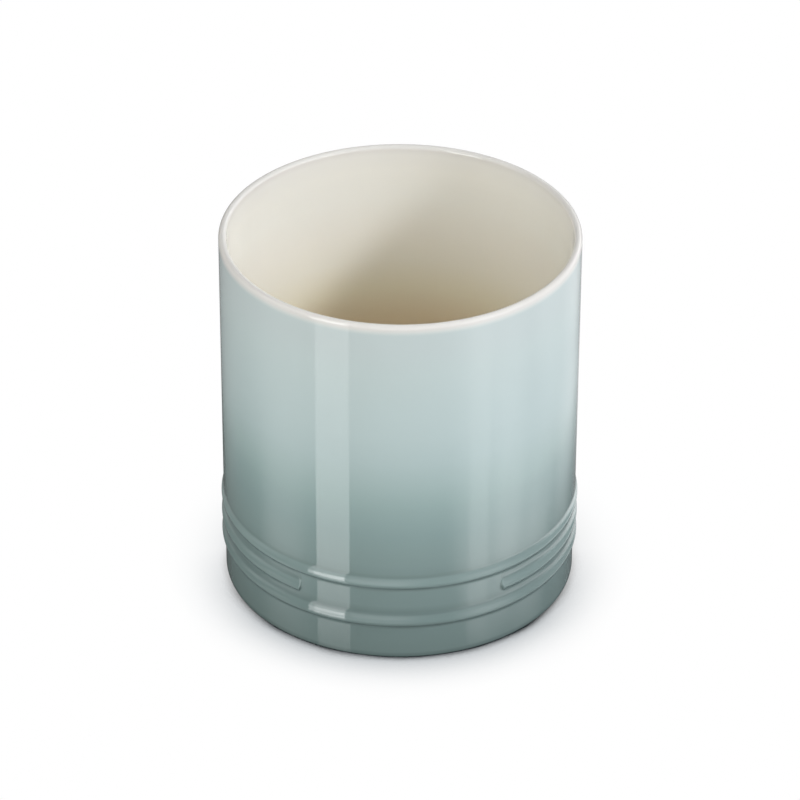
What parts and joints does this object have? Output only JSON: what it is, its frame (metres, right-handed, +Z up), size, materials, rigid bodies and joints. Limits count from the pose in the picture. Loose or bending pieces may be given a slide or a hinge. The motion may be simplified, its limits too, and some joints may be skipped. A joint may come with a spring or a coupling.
{
  "type": "utensil crock",
  "caption": "Open cylindrical stoneware crock for standing kitchen utensils in, with raised rings round its base, a rounded lip and a glazed inside.",
  "frame": {"origin": "centre of the foot ring, on the surface that the crock stands on", "axes": "+Z up along the crock's axis, -Y towards the plain panel between the ends of the middle ring"},
  "size_m": [0.1518, 0.1518, 0.162],
  "materials": {
    "bare_stoneware": "unglazed fired stoneware, fine and matt",
    "green_glaze": "glossy glaze, pale sea green at the top shading to grey green at the base",
    "cream_glaze": "glossy cream glaze",
    "clear_glaze": "glossy clear glaze over the clay"
  },
  "bodies": {
    "root": {"stoneware_body": "bare_stoneware", "outer_glaze": "green_glaze", "inner_glaze": "cream_glaze", "underside_glaze": "clear_glaze"}
  },
  "joints": []
}
